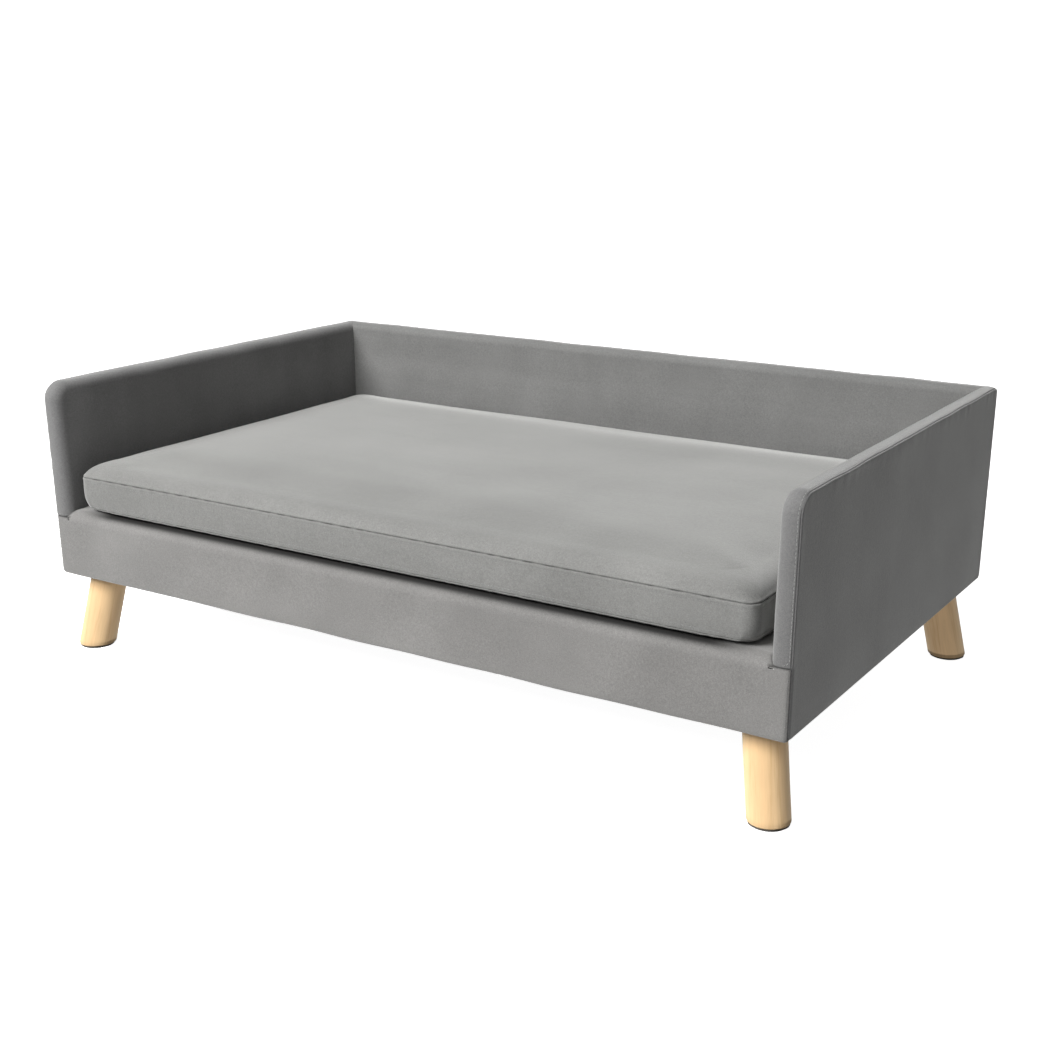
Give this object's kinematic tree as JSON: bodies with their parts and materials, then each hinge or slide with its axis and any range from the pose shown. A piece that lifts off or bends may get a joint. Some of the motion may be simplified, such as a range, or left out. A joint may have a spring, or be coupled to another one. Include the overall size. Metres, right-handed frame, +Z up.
{
  "type": "dog sofa bed with frame and legs",
  "caption": "Low upholstered pet sofa bed: velvet-covered board frame with two arms and a back, a loose crowned seat cushion and splayed round wooden legs.",
  "frame": {"origin": "on the floor, under the middle of the bed", "axes": "+X to the right as seen from in front, along the long side; +Y from the open front to the back wall; +Z up"},
  "size_m": [1, 0.6, 0.344],
  "materials": {
    "velvet": "short-pile velvet",
    "cushion_velvet": "short-pile velvet",
    "wadding": "soft foam wrap",
    "foam": "open-cell foam",
    "plywood": "sanded plywood",
    "leg_wood": "clear satin lacquer on pale wood",
    "steel": "zinc plated",
    "felt": "pressed felt",
    "dust_cloth": "matt non-woven cloth",
    "zip_coil": "nylon coil on woven tape",
    "zip_metal": "satin nickel"
  },
  "bodies": {
    "frame": {"side_board_left": "plywood", "side_wadding_left": "wadding", "side_cover_left": "velvet", "deck_ledge_left": "plywood", "rail_screw_left_1": "steel", "back_screw_left_1": "steel", "rail_screw_left_2": "steel", "back_screw_left_2": "steel", "side_board_right": "plywood", "side_wadding_right": "wadding", "side_cover_right": "velvet", "deck_ledge_right": "plywood", "rail_screw_right_1": "steel", "back_screw_right_1": "steel", "rail_screw_right_2": "steel", "back_screw_right_2": "steel", "back_board": "plywood", "back_wadding": "wadding", "back_cover": "velvet", "front_rail": "plywood", "front_wadding": "wadding", "deck_board": "plywood", "deck_foam": "foam", "base_cover": "velvet", "dust_cloth": "dust_cloth", "deck_bearer_1": "plywood", "deck_bearer_2": "plywood", "deck_bearer_3": "plywood", "leg_block_front_left": "plywood", "leg_plate_front_left": "steel", "hanger_bolt_front_left": "steel", "leg_front_left": "leg_wood", "foot_pad_front_left": "felt", "leg_block_front_right": "plywood", "leg_plate_front_right": "steel", "hanger_bolt_front_right": "steel", "leg_front_right": "leg_wood", "foot_pad_front_right": "felt", "leg_block_back_left": "plywood", "leg_plate_back_left": "steel", "hanger_bolt_back_left": "steel", "leg_back_left": "leg_wood", "foot_pad_back_left": "felt", "leg_block_back_right": "plywood", "leg_plate_back_right": "steel", "hanger_bolt_back_right": "steel", "leg_back_right": "leg_wood", "foot_pad_back_right": "felt"},
    "cushion": {"cushion_foam": "foam", "cushion_cover": "cushion_velvet", "zip_chain": "zip_coil"},
    "zip_slider": {"zip_slider": "zip_metal"},
    "zip_pull": {"zip_pull": "zip_metal"}
  },
  "joints": [
    {"name": "cushion_lift", "type": "slide", "parent": "frame", "child": "cushion", "axis": [0, 0, 1], "range_m": [0, 0.18]},
    {"name": "zip_run", "type": "slide", "parent": "cushion", "child": "zip_slider", "axis": [-1, 0, 0], "range_m": [0, 0.76]},
    {"name": "zip_pull_swing", "type": "hinge", "parent": "zip_slider", "child": "zip_pull", "pos_m": [0.38, 0.266, 0.2083], "axis": [0, 1, 0], "range_deg": [-90, 90]}
  ]
}
